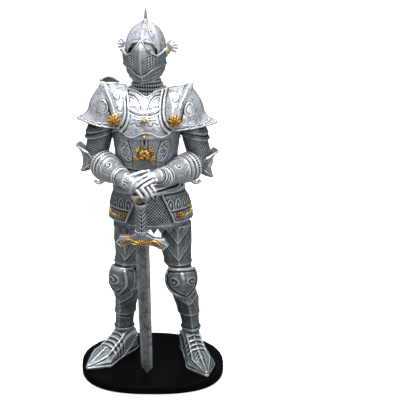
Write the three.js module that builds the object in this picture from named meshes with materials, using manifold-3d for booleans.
// An armoured knight statuette on a black plinth, hands folded over the pommel of a standing sword.
// Units are millimetres. +Z is up, the figure faces -Y, and the origin is the middle of the
// plinth's underside. "right" and "left" are the figure's own, so right is -X.
import * as THREE from "three";
import { mergeVertices } from "three/addons/utils/BufferGeometryUtils.js";
import Module from "manifold-3d";

const wasm = await Module();
wasm.setup();

// ---------------------------------------------------------------- driving dimensions
const GAP = 0.35; // clearance between two pieces that meet
const PLATE = 1.6; // thickness of an armour plate
const FELT = 1.0; // thickness of the felt under the plinth
const BASE = { halfWidth: 59.5, halfDepth: 47.5, top: 8.5, edge: 1.6 };
const SOLE = BASE.top + GAP; // height that the shoes stand at
const WAIST = 168; // lower edge of the body armour
const HIP = 130.5; // where the thighs meet the mail skirt
const ANKLE = 31; // lower edge of the shin armour
const CHEST_SEAM = 206; // where the breastplate overlaps the lower chest plate
const SIDE_SEAM = 3; // y of the seam between the front and back of the body armour
const HELMET_TURN = THREE.MathUtils.degToRad(-8); // the helmet looks a little to its right
const PIVOT = new THREE.Vector3(-5.4, 3, 268); // middle of the visor's hinge line
const SWORD_TURN = THREE.MathUtils.degToRad(-14); // the guard's left end comes forward
const SWORD_FOOT = new THREE.Vector3(-4.6, -25, SOLE);
const SWORD_HEAD = new THREE.Vector3(-9.3, -34, 167);

const SILVER = { color: 0x8d9296, roughness: 0.42, metalness: 0.75 };
const MAIL = { color: 0x5f6468, roughness: 0.55, metalness: 0.65 };
const GOLD = { color: 0xc78a1e, roughness: 0.4, metalness: 0.7 };
const BLACK = { color: 0x0b0b0c, roughness: 0.3, metalness: 0 };
const FELT_GREEN = { color: 0x1d2a22, roughness: 0.95, metalness: 0 };
const STEEL = { color: 0x7c8084, roughness: 0.35, metalness: 0.9 };
const SKIN = { color: 0x9a9088, roughness: 0.6, metalness: 0.2 };

// ---------------------------------------------------------------- solids
function toSolid(geometry) {
  const bare = geometry.clone();
  bare.deleteAttribute("normal");
  bare.deleteAttribute("uv");
  const merged = mergeVertices(bare, 1e-3);
  const solid = new wasm.Manifold(
    new wasm.Mesh({
      numProp: 3,
      vertProperties: new Float32Array(merged.attributes.position.array),
      triVerts: new Uint32Array(merged.index.array),
    }),
  );
  return solid;
}

// A geometry that a mirror turned inside out, as a solid facing outwards.
function upright(geometry) {
  const index = mergeVertices(geometry.clone().deleteAttribute("normal").deleteAttribute("uv"), 1e-3);
  const triangles = Array.from(index.index.array);
  const positions = index.attributes.position;
  const corner = (i) => new THREE.Vector3().fromBufferAttribute(positions, triangles[i]);
  let volume = 0;
  for (let f = 0; f < triangles.length; f += 3) volume += corner(f).dot(corner(f + 1).cross(corner(f + 2)));
  if (volume < 0)
    for (let f = 0; f < triangles.length; f += 3) [triangles[f], triangles[f + 1]] = [triangles[f + 1], triangles[f]];
  return toSolid(index.setIndex(triangles));
}

function toGeometry(solid) {
  const { numProp, vertProperties, triVerts, numVert } = solid.getMesh();
  const positions = new Float32Array(numVert * 3);
  for (let i = 0; i < numVert; i++)
    positions.set(vertProperties.subarray(i * numProp, i * numProp + 3), i * 3);
  return new THREE.BufferGeometry()
    .setAttribute("position", new THREE.BufferAttribute(positions, 3))
    .setIndex(new THREE.BufferAttribute(triVerts, 1));
}

// What is left of a cut piece once loose slivers are gone.
function mainBody(solid) {
  const largest = (whole) => whole.decompose().sort((a, b) => b.volume() - a.volume())[0];
  return largest(toSolid(toGeometry(largest(solid))));
}

// A closed skin over rings of points, with a fan across each end.
function skin(rings) {
  const count = rings[0].length;
  const points = rings.flat();
  const middles = [rings[0], rings[rings.length - 1]].map((ring) =>
    ring.reduce((sum, p) => sum.add(p), new THREE.Vector3()).divideScalar(count),
  );
  const start = points.push(...middles) - 2;
  const faces = [];
  for (let i = 0; i < count; i++) {
    const j = (i + 1) % count;
    for (let k = 0; k + 1 < rings.length; k++) {
      const [a, b, c, d] = [k * count + i, k * count + j, k * count + i + count, k * count + j + count];
      faces.push(a, b, d, a, d, c);
    }
    const last = (rings.length - 1) * count;
    faces.push(start, j, i, start + 1, last + i, last + j);
  }
  const volume = faces.reduce((sum, _, f) => {
    if (f % 3) return sum;
    const [p, q, r] = [points[faces[f]], points[faces[f + 1]], points[faces[f + 2]]];
    return sum + p.dot(q.clone().cross(r));
  }, 0);
  if (volume < 0) for (let f = 0; f < faces.length; f += 3) [faces[f], faces[f + 1]] = [faces[f + 1], faces[f]];
  const geometry = new THREE.BufferGeometry().setFromPoints(points);
  return geometry.setIndex(faces);
}

// Level sections are [x, y, z, half width, depth to the front, depth to the back].
function levelRing([x, y, z, half, front, back = front], sides) {
  return Array.from({ length: sides }, (_, i) => {
    const angle = (2 * Math.PI * (i + 0.5)) / sides;
    const depth = Math.sin(angle) > 0 ? back : front;
    return new THREE.Vector3(x + half * Math.cos(angle), y + depth * Math.sin(angle), z);
  });
}

const stack = (sections, sides = 14) => toSolid(skin(sections.map((s) => levelRing(s, sides))));

const grow = (sections, by) =>
  sections.map(([x, y, z, half, front, back = front]) => [x, y, z, half + by, front + by, back + by]);

// A shell between a stack of level sections and the same stack drawn in by the plate's thickness.
const shell = (sections, sides = 14) =>
  stack(sections, sides).subtract(stack(stretch(grow(sections, -PLATE), 1), sides));

// The same sections with the first and last pushed past their ends, so that a cut goes right through.
function stretch(sections, by) {
  const up = Math.sign(sections[sections.length - 1][2] - sections[0][2]);
  const copy = sections.map((s) => [...s]);
  copy[0][2] -= up * by;
  copy[copy.length - 1][2] += up * by;
  return copy;
}

// A tube through points [x, y, z, radius], each ring square to the path and turned on from the last.
function tube(path, sides = 10) {
  const points = path.map(([x, y, z]) => new THREE.Vector3(x, y, z));
  const turn = new THREE.Quaternion();
  const heading = new THREE.Vector3(0, 0, 1);
  const rings = points.map((point, i) => {
    const ahead = points[Math.min(i + 1, points.length - 1)];
    const next = ahead.clone().sub(points[Math.max(i - 1, 0)]).normalize();
    turn.premultiply(new THREE.Quaternion().setFromUnitVectors(heading, next));
    heading.copy(next);
    return Array.from({ length: sides }, (_, k) => {
      const angle = (2 * Math.PI * k) / sides;
      const spoke = new THREE.Vector3(Math.cos(angle), Math.sin(angle), 0).multiplyScalar(path[i][3]);
      return spoke.applyQuaternion(turn).add(point);
    });
  });
  return toSolid(skin(rings));
}

// The room a tube takes, with a gap round it that still holds where the tube bends.
const roomFor = (path, sides) => tube(fatten(path, 2 * GAP), sides);
const fatten = (path, by) => path.map(([x, y, z, radius]) => [x, y, z, radius + by]);

function box(low, high) {
  const size = high.map((h, i) => h - low[i]);
  const geometry = new THREE.BoxGeometry(...size);
  geometry.translate(...high.map((h, i) => (h + low[i]) / 2));
  return toSolid(geometry);
}

function ball(x, y, z, rx, ry, rz, across = 14, down = 10) {
  const geometry = new THREE.SphereGeometry(1, across, down);
  geometry.rotateX(Math.PI / 2);
  geometry.scale(rx, ry, rz);
  geometry.translate(x, y, z);
  return toSolid(geometry);
}

// A disc or rod of a given length, lying along +X, +Y or +Z from its start.
function rod(axis, start, length, radius, endRadius = radius, sides = 10) {
  const geometry = new THREE.CylinderGeometry(endRadius, radius, length, sides);
  geometry.translate(0, length / 2, 0);
  if (axis === "x") geometry.rotateZ(-Math.PI / 2);
  if (axis === "z") geometry.rotateX(Math.PI / 2);
  geometry.translate(...start);
  return toSolid(geometry);
}

// A flat star or flower standing in the XZ plane, its back at y = 0 and its face towards -Y.
function flower(petals, outer, inner, depth) {
  const outline = new THREE.Shape();
  for (let i = 0; i < petals * 2; i++) {
    const angle = (Math.PI * i) / petals;
    const radius = i % 2 ? inner : outer;
    const [x, y] = [radius * Math.cos(angle), radius * Math.sin(angle)];
    if (i) outline.lineTo(x, y);
    else outline.moveTo(x, y);
  }
  const geometry = new THREE.ExtrudeGeometry(outline, { depth, bevelEnabled: false });
  geometry.rotateX(Math.PI / 2);
  return geometry;
}

// ---------------------------------------------------------------- the scene graph
const knight = new THREE.Group();

function add(name, solidOrGeometry, look, parent = knight, place = {}) {
  const geometry = solidOrGeometry.isBufferGeometry ? solidOrGeometry : toGeometry(solidOrGeometry);
  const mesh = new THREE.Mesh(geometry, new THREE.MeshStandardMaterial(look));
  mesh.name = name;
  if (place.at) mesh.position.set(...place.at);
  if (place.turn) mesh.rotation.set(...place.turn);
  parent.add(mesh);
  return mesh;
}

const both = (makeSide) => [-1, 1].forEach((side) => makeSide(side, side < 0 ? "right" : "left"));

// ---------------------------------------------------------------- plinth
function baseOutline(inset) {
  const outline = new THREE.Shape();
  const steps = 48;
  for (let i = 0; i < steps; i++) {
    const angle = (2 * Math.PI * i) / steps;
    const [c, s] = [Math.cos(angle), Math.sin(angle)];
    const square = s < 0 ? 2.6 : 2.1; // the front is squarer than the back
    const x = (BASE.halfWidth - inset) * Math.sign(c) * Math.abs(c) ** (2 / square);
    const y = (BASE.halfDepth - inset) * Math.sign(s) * Math.abs(s) ** (2 / square);
    if (i) outline.lineTo(x, y);
    else outline.moveTo(x, y);
  }
  return outline.getPoints();
}

const plinthLevels = [
  [FELT + GAP, 1.2],
  [FELT + 2, 0],
  [BASE.top - BASE.edge, 0],
  [BASE.top - 0.4, 0.7],
  [BASE.top, BASE.edge],
];
let plinth = toSolid(
  skin(plinthLevels.map(([z, inset]) => baseOutline(inset).map((p) => new THREE.Vector3(p.x, p.y, z)))),
);

// One screw comes up through the plinth into each shoe.
const SCREW = { shank: 1.5, head: 3, headDepth: 1.6, reach: 8 };
const screwAt = { right: [-25.5, 11], left: [32, 11] };
const screws = {};
both((side, name) => {
  const [x, y] = screwAt[name];
  const floor = FELT + GAP * 2;
  const shaft = rod("z", [x, y, floor], BASE.top + SCREW.reach - floor, SCREW.shank, SCREW.shank, 8);
  const head = rod("z", [x, y, floor], SCREW.headDepth, SCREW.head, SCREW.head, 8);
  screws[name] = shaft.add(head);
  const bore = rod("z", [x, y, 0], 30, SCREW.shank + GAP, SCREW.shank + GAP, 8);
  const sink = rod("z", [x, y, 0], floor + SCREW.headDepth + GAP, SCREW.head + GAP, SCREW.head + GAP, 8);
  plinth = plinth.subtract(bore).subtract(sink);
  add(`${name}_base_screw`, screws[name], STEEL);
});
add("plinth", plinth, BLACK);
const felt = baseOutline(3).map((p) => new THREE.Vector2(p.x, p.y));
add("felt_pad", new THREE.ExtrudeGeometry(new THREE.Shape(felt), { depth: FELT, bevelEnabled: false }), FELT_GREEN);

// ---------------------------------------------------------------- legs
// Outer surface of the leg armour, from the ankle up.
const LEG = {
  right: [
    [-24.2, 12.5, ANKLE, 8.0, 8.4],
    [-23.9, 11.8, 40, 7.8, 8.0],
    [-23, 10.4, 50, 8.6, 9.0],
    [-21.8, 7.6, 62, 9.8, 10.6],
    [-21.5, 4.8, 74, 10.1, 10.4],
    [-21.5, 3, 84, 10.3, 10.6],
    [-20.5, 3.4, 94, 11, 11],
    [-18.8, 4, 104, 12, 12.2],
    [-19.2, 4.5, 116, 12.4, 12.8],
    [-19.2, 5, HIP - GAP, 12.2, 13],
  ],
  left: [
    [32.5, 10.5, ANKLE, 7.9, 8.4],
    [31.6, 10, 40, 7.6, 8.0],
    [30, 8.8, 50, 9, 9.4],
    [27.8, 6.2, 62, 10.9, 11.2],
    [24.5, 3.4, 74, 10.3, 10.8],
    [22.3, 1.6, 84, 10.2, 10.8],
    [21, 2.6, 94, 10.8, 11],
    [19.5, 3.5, 104, 12.3, 12.3],
    [19.2, 4.5, 116, 12.8, 13],
    [19, 5, HIP - GAP, 12.5, 13],
  ],
};
const KNEE_TURN = { right: THREE.MathUtils.degToRad(-32), left: THREE.MathUtils.degToRad(8) };
const FOOT_TURN = { right: THREE.MathUtils.degToRad(-42), left: THREE.MathUtils.degToRad(15) };
const [GREAVE_TOP, CUISSE_FOOT] = [76, 92];

// Cross-sections of a shoe: [distance from the heel, half width, height].
const SHOE = [
  [0, 4, 13],
  [3, 6.5, 20],
  [6.5, 7.7, 21.6],
  [19, 8.2, 21.6],
  [24, 8.8, 15.5],
  [32, 10, 11.5],
  [41, 11.6, 8.4],
  [50, 6.4, 5.6],
  [58, 0.7, 2.6],
];
const HEEL_TO_ANKLE = 13;

function shoe() {
  const rings = SHOE.map(([along, half, height]) => {
    const crown = height > 20 ? 0.97 : 0.8;
    const profile = [
      [-1, 0],
      [-1, 0.3],
      [-0.62, crown],
      [0, 1],
      [0.62, crown],
      [1, 0.3],
      [1, 0],
    ];
    return profile.map(([across, up]) => new THREE.Vector3(across * half, -along, up * height));
  });
  return toSolid(skin(rings));
}

both((side, name) => {
  const leg = LEG[name];
  const greave = leg.filter((s) => s[2] <= GREAVE_TOP);
  const cuisse = leg.filter((s) => s[2] >= CUISSE_FOOT);
  add(`${name}_greave`, shell(greave), SILVER);
  add(`${name}_cuisse`, shell(cuisse), SILVER);
  add(`${name}_leg_core`, stack(grow(leg, -PLATE - GAP)), MAIL);

  const [x, y, z] = leg[5];
  const cap = ball(0, -3.5, -1, 12.2, 12.6, 16.5, 16, 10).intersect(box([-20, -20, -15], [20, 0.5, 11]));
  const turned = cap.rotate([0, 0, THREE.MathUtils.radToDeg(KNEE_TURN[name])]).translate([x, y, z]);
  add(`${name}_poleyn`, turned.subtract(stack(grow(leg, GAP))), SILVER);

  const [ankleX, ankleY] = leg[0];
  const foot = new THREE.Group();
  foot.position.set(ankleX, ankleY, SOLE);
  foot.rotation.z = FOOT_TURN[name];
  knight.add(foot);
  foot.updateMatrixWorld(true);
  const [screwX, screwY] = screwAt[name];
  const local = foot.worldToLocal(new THREE.Vector3(screwX, screwY, SOLE));
  const hole = rod("z", [local.x, local.y, -1], SCREW.reach + 1.5, SCREW.shank + GAP, SCREW.shank + GAP, 8);
  add(`${name}_sabaton`, shoe().translate([0, HEEL_TO_ANKLE, 0]).subtract(hole), SILVER, foot);
});

// ---------------------------------------------------------------- hips
const SKIRT = [
  [-2, 5, HIP + GAP, 30.5, 20, 20],
  [-2, 5, 140, 30, 19.5, 19.5],
  [-2.5, 5, 150, 28, 18.5, 18.5],
  [-4, 4, 159, 23, 16, 16],
  [-5, 3.5, WAIST - GAP, 19, 13.5, 13],
];
add("mail_skirt", stack(SKIRT, 18), MAIL);

const HIP_PLATES = [
  [-1.5, 5, 128, 33.6, 22.4, 22.4],
  [-1.5, 5, 141, 33.8, 22.8, 22.8],
  [-2.2, 5, 152, 31.6, 21.2, 21.2],
  [-3, 4.5, 158, 28.6, 19.6, 19.6],
];
const hipPlates = stack(HIP_PLATES, 18)
  .subtract(stack(stretch(grow(SKIRT, GAP), 6), 18))
  .subtract(stack(stretch(grow(LEG.right, GAP), 2)))
  .subtract(stack(stretch(grow(LEG.left, GAP), 2)));

// A wedge that opens away from the body's middle, from one plan angle to another, in degrees.
function wedge(from, to, low, high) {
  const outline = new THREE.Shape();
  outline.moveTo(0, 0);
  for (let i = 0; i <= 4; i++) {
    const angle = THREE.MathUtils.degToRad(from + ((to - from) * i) / 4);
    outline.lineTo(60 * Math.cos(angle), 60 * Math.sin(angle));
  }
  const geometry = new THREE.ExtrudeGeometry(outline, { depth: high - low, bevelEnabled: false });
  geometry.translate(-2, 5, low);
  return toSolid(geometry);
}
add("left_tasset", hipPlates.intersect(wedge(-62, 22, 120, 170)), SILVER);
add("right_tasset", hipPlates.intersect(wedge(158, 242, 120, 170)), SILVER);
add("culet", hipPlates.intersect(wedge(24, 156, 120, 170)), SILVER);

const FAULD = [
  [-3.5, 4.2, 158 + GAP, 29.2, 20.2, 19.5],
  [-4.2, 3.8, 162, 26, 18.6, 17.6],
  [-5, 3.2, WAIST - GAP, 22.2, 16.2, 15],
];
add("fauld", stack(FAULD, 16).subtract(stack(stretch(grow(SKIRT, GAP), 3), 18)), SILVER);

// ---------------------------------------------------------------- body
const BODY = [
  [-5, 3, WAIST, 20.8, 15.6, 14.6],
  [-5, 3, 180, 23, 19, 16],
  [-5, 3, 195, 25.4, 22.6, 18],
  [-5, 3, 208, 26.5, 24.6, 19],
  [-5, 3, 220, 26.3, 23.6, 18.5],
  [-5, 3, 230, 24.4, 19, 16],
  [-4.6, 3.5, 237, 19, 13.6, 12.6],
  [-4, 3.5, 241, 14.4, 11.4, 10.8],
];
const COLLAR = [
  [-4, 3.5, 236, 14, 12, 11],
  [-4, 3, 241, 12.6, 11.2, 11],
  [-4.6, 3, 246.2, 10.6, 10.6, 10.4],
  [-5.4, 3, 247.2, 8.5, 8.5, 8.5],
  [-5.4, 3, 250.4, 8.3, 8.3, 8.3],
];
add("body_core", stack(grow(BODY.slice(0, 6), -PLATE - GAP), 16), MAIL);
const collar = stack(COLLAR, 14);
add("mail_collar", collar, MAIL);

const bodyShell = shell(BODY, 18).subtract(stack(stretch(grow(COLLAR, GAP), 4), 14));
const half = GAP / 2;
const [OUT, TOP] = [80, 260];
add("breastplate", bodyShell.intersect(box([-OUT, -OUT, CHEST_SEAM + half], [OUT, SIDE_SEAM - half, TOP])), SILVER);
add("lower_chestplate", bodyShell.intersect(box([-OUT, -OUT, 100], [OUT, SIDE_SEAM - half, CHEST_SEAM - half])), SILVER);
add("backplate", bodyShell.intersect(box([-OUT, SIDE_SEAM + half, 100], [OUT, OUT, TOP])), SILVER);
const bodyOuter = stack(stretch(grow(BODY, GAP), 1), 18);

// ---------------------------------------------------------------- arms
const SHOULDER = { right: [-36, 5.5, 226], left: [26, 5.5, 224] };
const ELBOW = { right: [-45.5, 10, 181], left: [38.5, 10, 179] };
const WRIST = { right: [-23.5, -25.5, 176.5], left: [8.5, -25.5, 177] };
const SLEEVE_RADIUS = 7.6;

const forearmRoom = {};
const between = (a, b, t) => a.map((v, i) => v + (b[i] - v) * t);

both((side, name) => {
  const [shoulder, elbow, wrist] = [SHOULDER[name], ELBOW[name], WRIST[name]];
  const sleevePath = [
    [...between(shoulder, elbow, -0.05), SLEEVE_RADIUS],
    [...between(shoulder, elbow, 0.5), SLEEVE_RADIUS + 0.4],
    [...between(shoulder, elbow, 0.9), SLEEVE_RADIUS],
    [...between(elbow, wrist, 0.12), SLEEVE_RADIUS + 0.2],
    [...between(elbow, wrist, 0.3), SLEEVE_RADIUS - 0.4],
  ];
  const sleeve = tube(sleevePath).subtract(bodyOuter);
  add(`${name}_mail_sleeve`, sleeve, MAIL);
  const sleeveSpace = roomFor(sleevePath);

  const cuffPath = [
    [...between(shoulder, elbow, 0.3), 10.2],
    [...between(shoulder, elbow, 0.5), 10.6],
    [...between(shoulder, elbow, 0.68), 11.4],
  ];
  const upper = tube(cuffPath, 12).subtract(sleeveSpace).subtract(bodyOuter);
  add(`${name}_rerebrace`, upper, SILVER);

  const forearmPath = [
    [...between(elbow, wrist, 0.3 + 0.02), 8.8],
    [...between(elbow, wrist, 0.5), 9.2],
    [...between(elbow, wrist, 0.8), 7.4],
    [...between(elbow, wrist, 1.0), 7.0],
  ];
  forearmRoom[name] = roomFor(forearmPath, 12);
  const forearm = tube(forearmPath, 12).subtract(sleeveSpace).subtract(bodyOuter);
  add(`${name}_vambrace`, forearm, SILVER);

  // The shoulder plate is a deep bell that flares at its lower outer corner.
  const [sx, sy] = shoulder;
  const bell = [
    [sx - side * 1, sy - 1, 209, 13.4, 16.5],
    [sx + side * 4, sy - 2, 213, 16.4, 19],
    [sx + side * 3, sy - 1.6, 219, 15, 18.6],
    [sx + side * 0.6, sy - 1, 230, 12, 16],
    [sx - side * 1, sy, 239, 7.8, 11],
    [sx - side * 1, sy + 1, 245, 2.2, 4.4],
  ];
  const hollow = stretch(grow(bell.slice(0, 5), -PLATE - 0.4), 1);
  const pauldron = stack(bell, 16)
    .subtract(stack(hollow, 16))
    .subtract(bodyOuter)
    .subtract(sleeveSpace)
    .subtract(roomFor(cuffPath, 12))
    .subtract(box([-22, -30, 200], [9, 40, 260]));
  add(`${name}_pauldron`, mainBody(pauldron), SILVER);

  // The elbow plate: a cup behind the joint and a crescent wing on its outer side.
  const [ex, ey, ez] = elbow;
  const cup = ball(ex + side * 1.5, ey + 1, ez - 1, 10.6, 10.6, 9.4, 12, 8);
  const fan = new THREE.Shape();
  fan.moveTo(-5, -4);
  fan.quadraticCurveTo(-15, -8, -13, -15);
  fan.quadraticCurveTo(-2, -19, 4, -9);
  fan.quadraticCurveTo(8, 0, 6, 9);
  fan.quadraticCurveTo(1, 17, -9, 16);
  fan.quadraticCurveTo(-11, 8, -5, 4);
  const wing = new THREE.ExtrudeGeometry(fan, { depth: PLATE, bevelEnabled: false, curveSegments: 3 });
  wing.rotateX(Math.PI / 2);
  wing.rotateZ(side * 0.75);
  if (side < 0) wing.scale(-1, 1, 1);
  wing.translate(ex + side * 8.2, ey + 1, ez - 1);
  const couter = cup.add(upright(wing)).subtract(sleeveSpace).subtract(forearmRoom[name]);
  add(`${name}_couter`, mainBody(couter.subtract(roomFor(cuffPath, 12))), SILVER);
});

// ---------------------------------------------------------------- sword
// Built upright on its own axis, then leaned so that the pommel comes under the hands.
const sword = new THREE.Group();
const lean = SWORD_HEAD.clone().sub(SWORD_FOOT);
const SWORD_LENGTH = lean.length();
sword.position.copy(SWORD_FOOT);
sword.quaternion.setFromUnitVectors(new THREE.Vector3(0, 0, 1), lean.normalize());
sword.rotateZ(SWORD_TURN);
knight.add(sword);
sword.updateMatrixWorld(true);

const [GUARD_FOOT, GUARD_TOP, GRIP_TOP] = [115.6, 125.5, 149];
const bladeRing = (z, width, thick) => [
  new THREE.Vector3(-width, 0, z),
  new THREE.Vector3(0, -thick, z),
  new THREE.Vector3(width, 0, z),
  new THREE.Vector3(0, thick, z),
];
const blade = [bladeRing(0, 0.8, 0.5), bladeRing(9, 4.9, 1.4), bladeRing(GUARD_FOOT, 5.7, 1.7)];
add("blade", skin(blade), STEEL, sword);

// The guard is a bowed plate that spreads into a fishtail at each end.
const quillon = new THREE.Shape();
quillon.moveTo(0, GUARD_FOOT + GAP);
[[12, 115.6], [17, 112.6], [20.5, 116.6], [16.5, 122.4], [8, 123.6], [4.6, 125.5]].forEach(([x, z]) => quillon.lineTo(x, z));
[[-4.6, 125.5], [-8, 123.6], [-16.5, 122.4], [-20.5, 116.6], [-17, 112.6], [-12, 115.6]].forEach(([x, z]) => quillon.lineTo(x, z));
const guard = new THREE.ExtrudeGeometry(quillon, { depth: 6.4, bevelEnabled: false });
guard.rotateX(Math.PI / 2);
guard.translate(0, 3.2, 0);
add("crossguard", guard, SILVER, sword);
const grip = [
  [0, 0, GUARD_TOP + GAP, 4.4, 4.4],
  [0, 0, 137, 4.9, 4.9],
  [0, 0, GRIP_TOP - GAP, 4.5, 4.5],
];
add("grip", stack(grip, 12), SILVER, sword);
const POMMEL = [
  [0, 0, GRIP_TOP, 5.2, 5.2],
  [0, 0, 151.5, 5.6, 5.6],
  [0, 0, 155, 7, 7],
  [0, 0, SWORD_LENGTH, 5.6, 5.6],
];
add("pommel", stack(POMMEL, 14), SILVER, sword);
add("pommel_flower", flower(8, 3.6, 2.7, 1.3), GOLD, sword, { at: [0, -7.2, 153.6] });
const scroll = new THREE.Shape();
[[-17, 116], [-13.6, 121.6], [-6, 119.8], [0, 122.4], [6, 119.8], [13.6, 121.6], [17, 116]].forEach(([x, z], i) =>
  i ? scroll.lineTo(x, z) : scroll.moveTo(x, z),
);
[[13.4, 118.6], [5, 116.4], [0, 115.2], [-5, 116.4], [-13.4, 118.6]].forEach(([x, z]) => scroll.lineTo(x, z));
const gilt = new THREE.ExtrudeGeometry(scroll, { depth: 1.4, bevelEnabled: false });
gilt.rotateX(Math.PI / 2);
gilt.translate(0, -3.2 - GAP, 0);
add("guard_scroll", gilt, GOLD, sword);

// ---------------------------------------------------------------- hands
// The left hand lies on the right, whose fingers come down over the pommel.
const GAUNTLET = {
  left: [
    [7.7, -25.6, 176.8, 5.6],
    [2, -32.4, 181, 6.2],
    [-4, -37.2, 183, 6.2],
    [-9, -40.2, 180.6, 5],
    [-13.4, -41.4, 176.6, 3.8],
  ],
  right: [
    [-22.6, -25.6, 175.6, 5.6],
    [-16.5, -31.6, 176.2, 6.2],
    [-10, -37.6, 176, 6],
    [-4, -41.8, 172.4, 4.6],
    [-0.6, -43.4, 167.8, 3.4],
  ],
};
const pommelSpace = stack(stretch(grow(POMMEL, GAP), GAP), 14).transform(sword.matrixWorld.toArray());
add("left_gauntlet", mainBody(tube(GAUNTLET.left, 12).subtract(forearmRoom.left)), SILVER);
const lowerHand = tube(GAUNTLET.right, 12).subtract(roomFor(GAUNTLET.left, 12)).subtract(pommelSpace);
add("right_gauntlet", mainBody(lowerHand.subtract(forearmRoom.right)), SILVER);

// ---------------------------------------------------------------- helmet
// Built round the visor's hinge line: x runs along the hinge, -y is straight ahead.
const helmet = new THREE.Group();
helmet.position.copy(PIVOT);
helmet.rotation.z = HELMET_TURN;
knight.add(helmet);

const SKULL = [
  [0, 0, -20.5, 10.9, 12, 11.5],
  [0, 0, -12, 14.6, 19, 16],
  [0, 0, -4, 16.8, 22.4, 20],
  [0, 0, 4, 16.8, 22.4, 21],
  [0, 0, 12, 14.4, 19.4, 18.6],
  [0, 0, 18, 10.4, 14, 13.4],
  [0, 0, 22, 5, 6, 6],
  [0, 0, 24.6, 1.2, 1.2, 1.2],
];
const [PIN, PIN_HEAD] = [1.6, 4.6];
const pinBore = rod("x", [-30, 0, 0], 60, PIN + GAP, PIN + GAP, 14);
const face = box([-13.5, -40, -30], [13.5, -6, 9.5]);
const inside = stack(stretch(grow(SKULL.slice(0, 7), -PLATE), 1), 18);
const skull = stack(SKULL, 18).subtract(inside).subtract(face).subtract(pinBore);
add("helmet_skull", mainBody(skull), SILVER, helmet);
add("helmet_spike", tube([[0, 0, 24.6 + GAP, 1.3], [0, 0, 32, 0.4]], 8), STEEL, helmet);

const BEVOR = [
  [0, 0, -20.5, 12.6, 16.6, 12],
  [0, 0, -15, 15.2, 18.7, 14],
  [0, 0, -7.5, 16.4, 20.9, 16],
];
const bevor = shell(BEVOR, 18)
  .intersect(box([-40, -40, -40], [40, -3, 40]))
  .subtract(stack(stretch(grow(SKULL, GAP), 1), 18).subtract(box([-13.2, -40, -30], [13.2, -6.3, 40])));
add("bevor", mainBody(bevor), SILVER, helmet);

// The visor is part of an egg turned about the hinge line, so it swings clear over the skull.
function egg(alongHinge, round) {
  const geometry = new THREE.SphereGeometry(1, 28, 14);
  geometry.rotateZ(Math.PI / 2);
  geometry.scale(alongHinge, round, round);
  return toSolid(geometry);
}
const VISOR_IN = { x: 17.7, r: 24 };
const cheek = [[5, 7.6], [11, 3.4], [16, 3], [24, 4.6], [24, -4.6], [16, -7], [9, -10.6]];
const outline = new THREE.Shape();
outline.moveTo(0, 12.8);
cheek.forEach(([x, z]) => outline.lineTo(x, z));
outline.lineTo(0, -14.6);
cheek.reverse().forEach(([x, z]) => outline.lineTo(-x, z));
const front = new THREE.ExtrudeGeometry(outline, { depth: 40, bevelEnabled: false });
front.rotateX(Math.PI / 2);
front.translate(0, 3.6, 0);
const visor = egg(VISOR_IN.x + PLATE, VISOR_IN.r + PLATE).subtract(egg(VISOR_IN.x, VISOR_IN.r));
add("visor", mainBody(visor.intersect(toSolid(front)).subtract(pinBore)), SILVER, helmet);

both((side, name) => {
  const reach = VISOR_IN.x + PLATE + GAP - 14.6;
  const pin = rod("x", [side * 14.6, 0, 0], reach, PIN, PIN, 14);
  const head = rod("x", [side < 0 ? -21.6 : 14.6 + reach, 0, 0], 21.6 - 14.6 - reach, PIN_HEAD, PIN_HEAD, 14);
  const shank = side < 0 ? pin.mirror([1, 0, 0]).translate([-29.2, 0, 0]) : pin;
  add(`${name}_visor_pin`, head.add(shank), GOLD, helmet);
});

const HEAD = [
  [0, 1.5, -17, 6.6, 6.6, 6.6],
  [0, 1, -13.5, 8, 9.5, 8],
  [0, -1, -8, 10.4, 14.6, 13],
  [0, -1, 2, 11.6, 15.4, 16],
  [0, 0, 10, 10.6, 14, 14],
  [0, 0, 15.4, 7, 8.6, 9],
];
add("head_form", stack(HEAD, 16), SKIN, helmet);

// ---------------------------------------------------------------- gilt ornaments on the armour
const solidNamed = (name) => toSolid(knight.getObjectByName(name).geometry);

// Fix a flower in front of some pieces, clear of the foremost point under it.
function fixFlower(name, pieces, x, z, [petals, outer, inner, depth], turn = 0) {
  const column = rod("y", [x, -80, z], 160, outer, outer, 12);
  const fronts = pieces.map((other) => solidNamed(other).intersect(column).boundingBox().min[1]);
  const shape = flower(petals, outer, inner, depth).rotateY(turn);
  add(name, shape, GOLD, knight, { at: [x, Math.min(...fronts) - GAP, z] });
}
const BEAD = [6, 1.9, 1.6, 1.3];
fixFlower("chest_flower", ["lower_chestplate"], -6.4, 192.4, [4, 9, 3, 1.8], Math.PI / 4);
fixFlower("chest_bead", ["lower_chestplate"], -6.4, 203.6, BEAD);
fixFlower("breast_bead", ["breastplate"], -6.4, 219.6, BEAD);
fixFlower("right_shoulder_flower", ["right_pauldron", "breastplate"], -29.6, 218.4, [8, 5, 3.8, 2]);
fixFlower("left_shoulder_flower", ["left_pauldron", "breastplate"], 16.6, 218, [8, 5, 3.8, 2]);
fixFlower("right_hip_flower", ["right_tasset"], -24.5, 141.5, [6, 3.6, 2.2, 1.4]);
fixFlower("left_hip_flower", ["left_tasset"], 21.5, 142, [6, 3.6, 2.2, 1.4]);

export default knight;
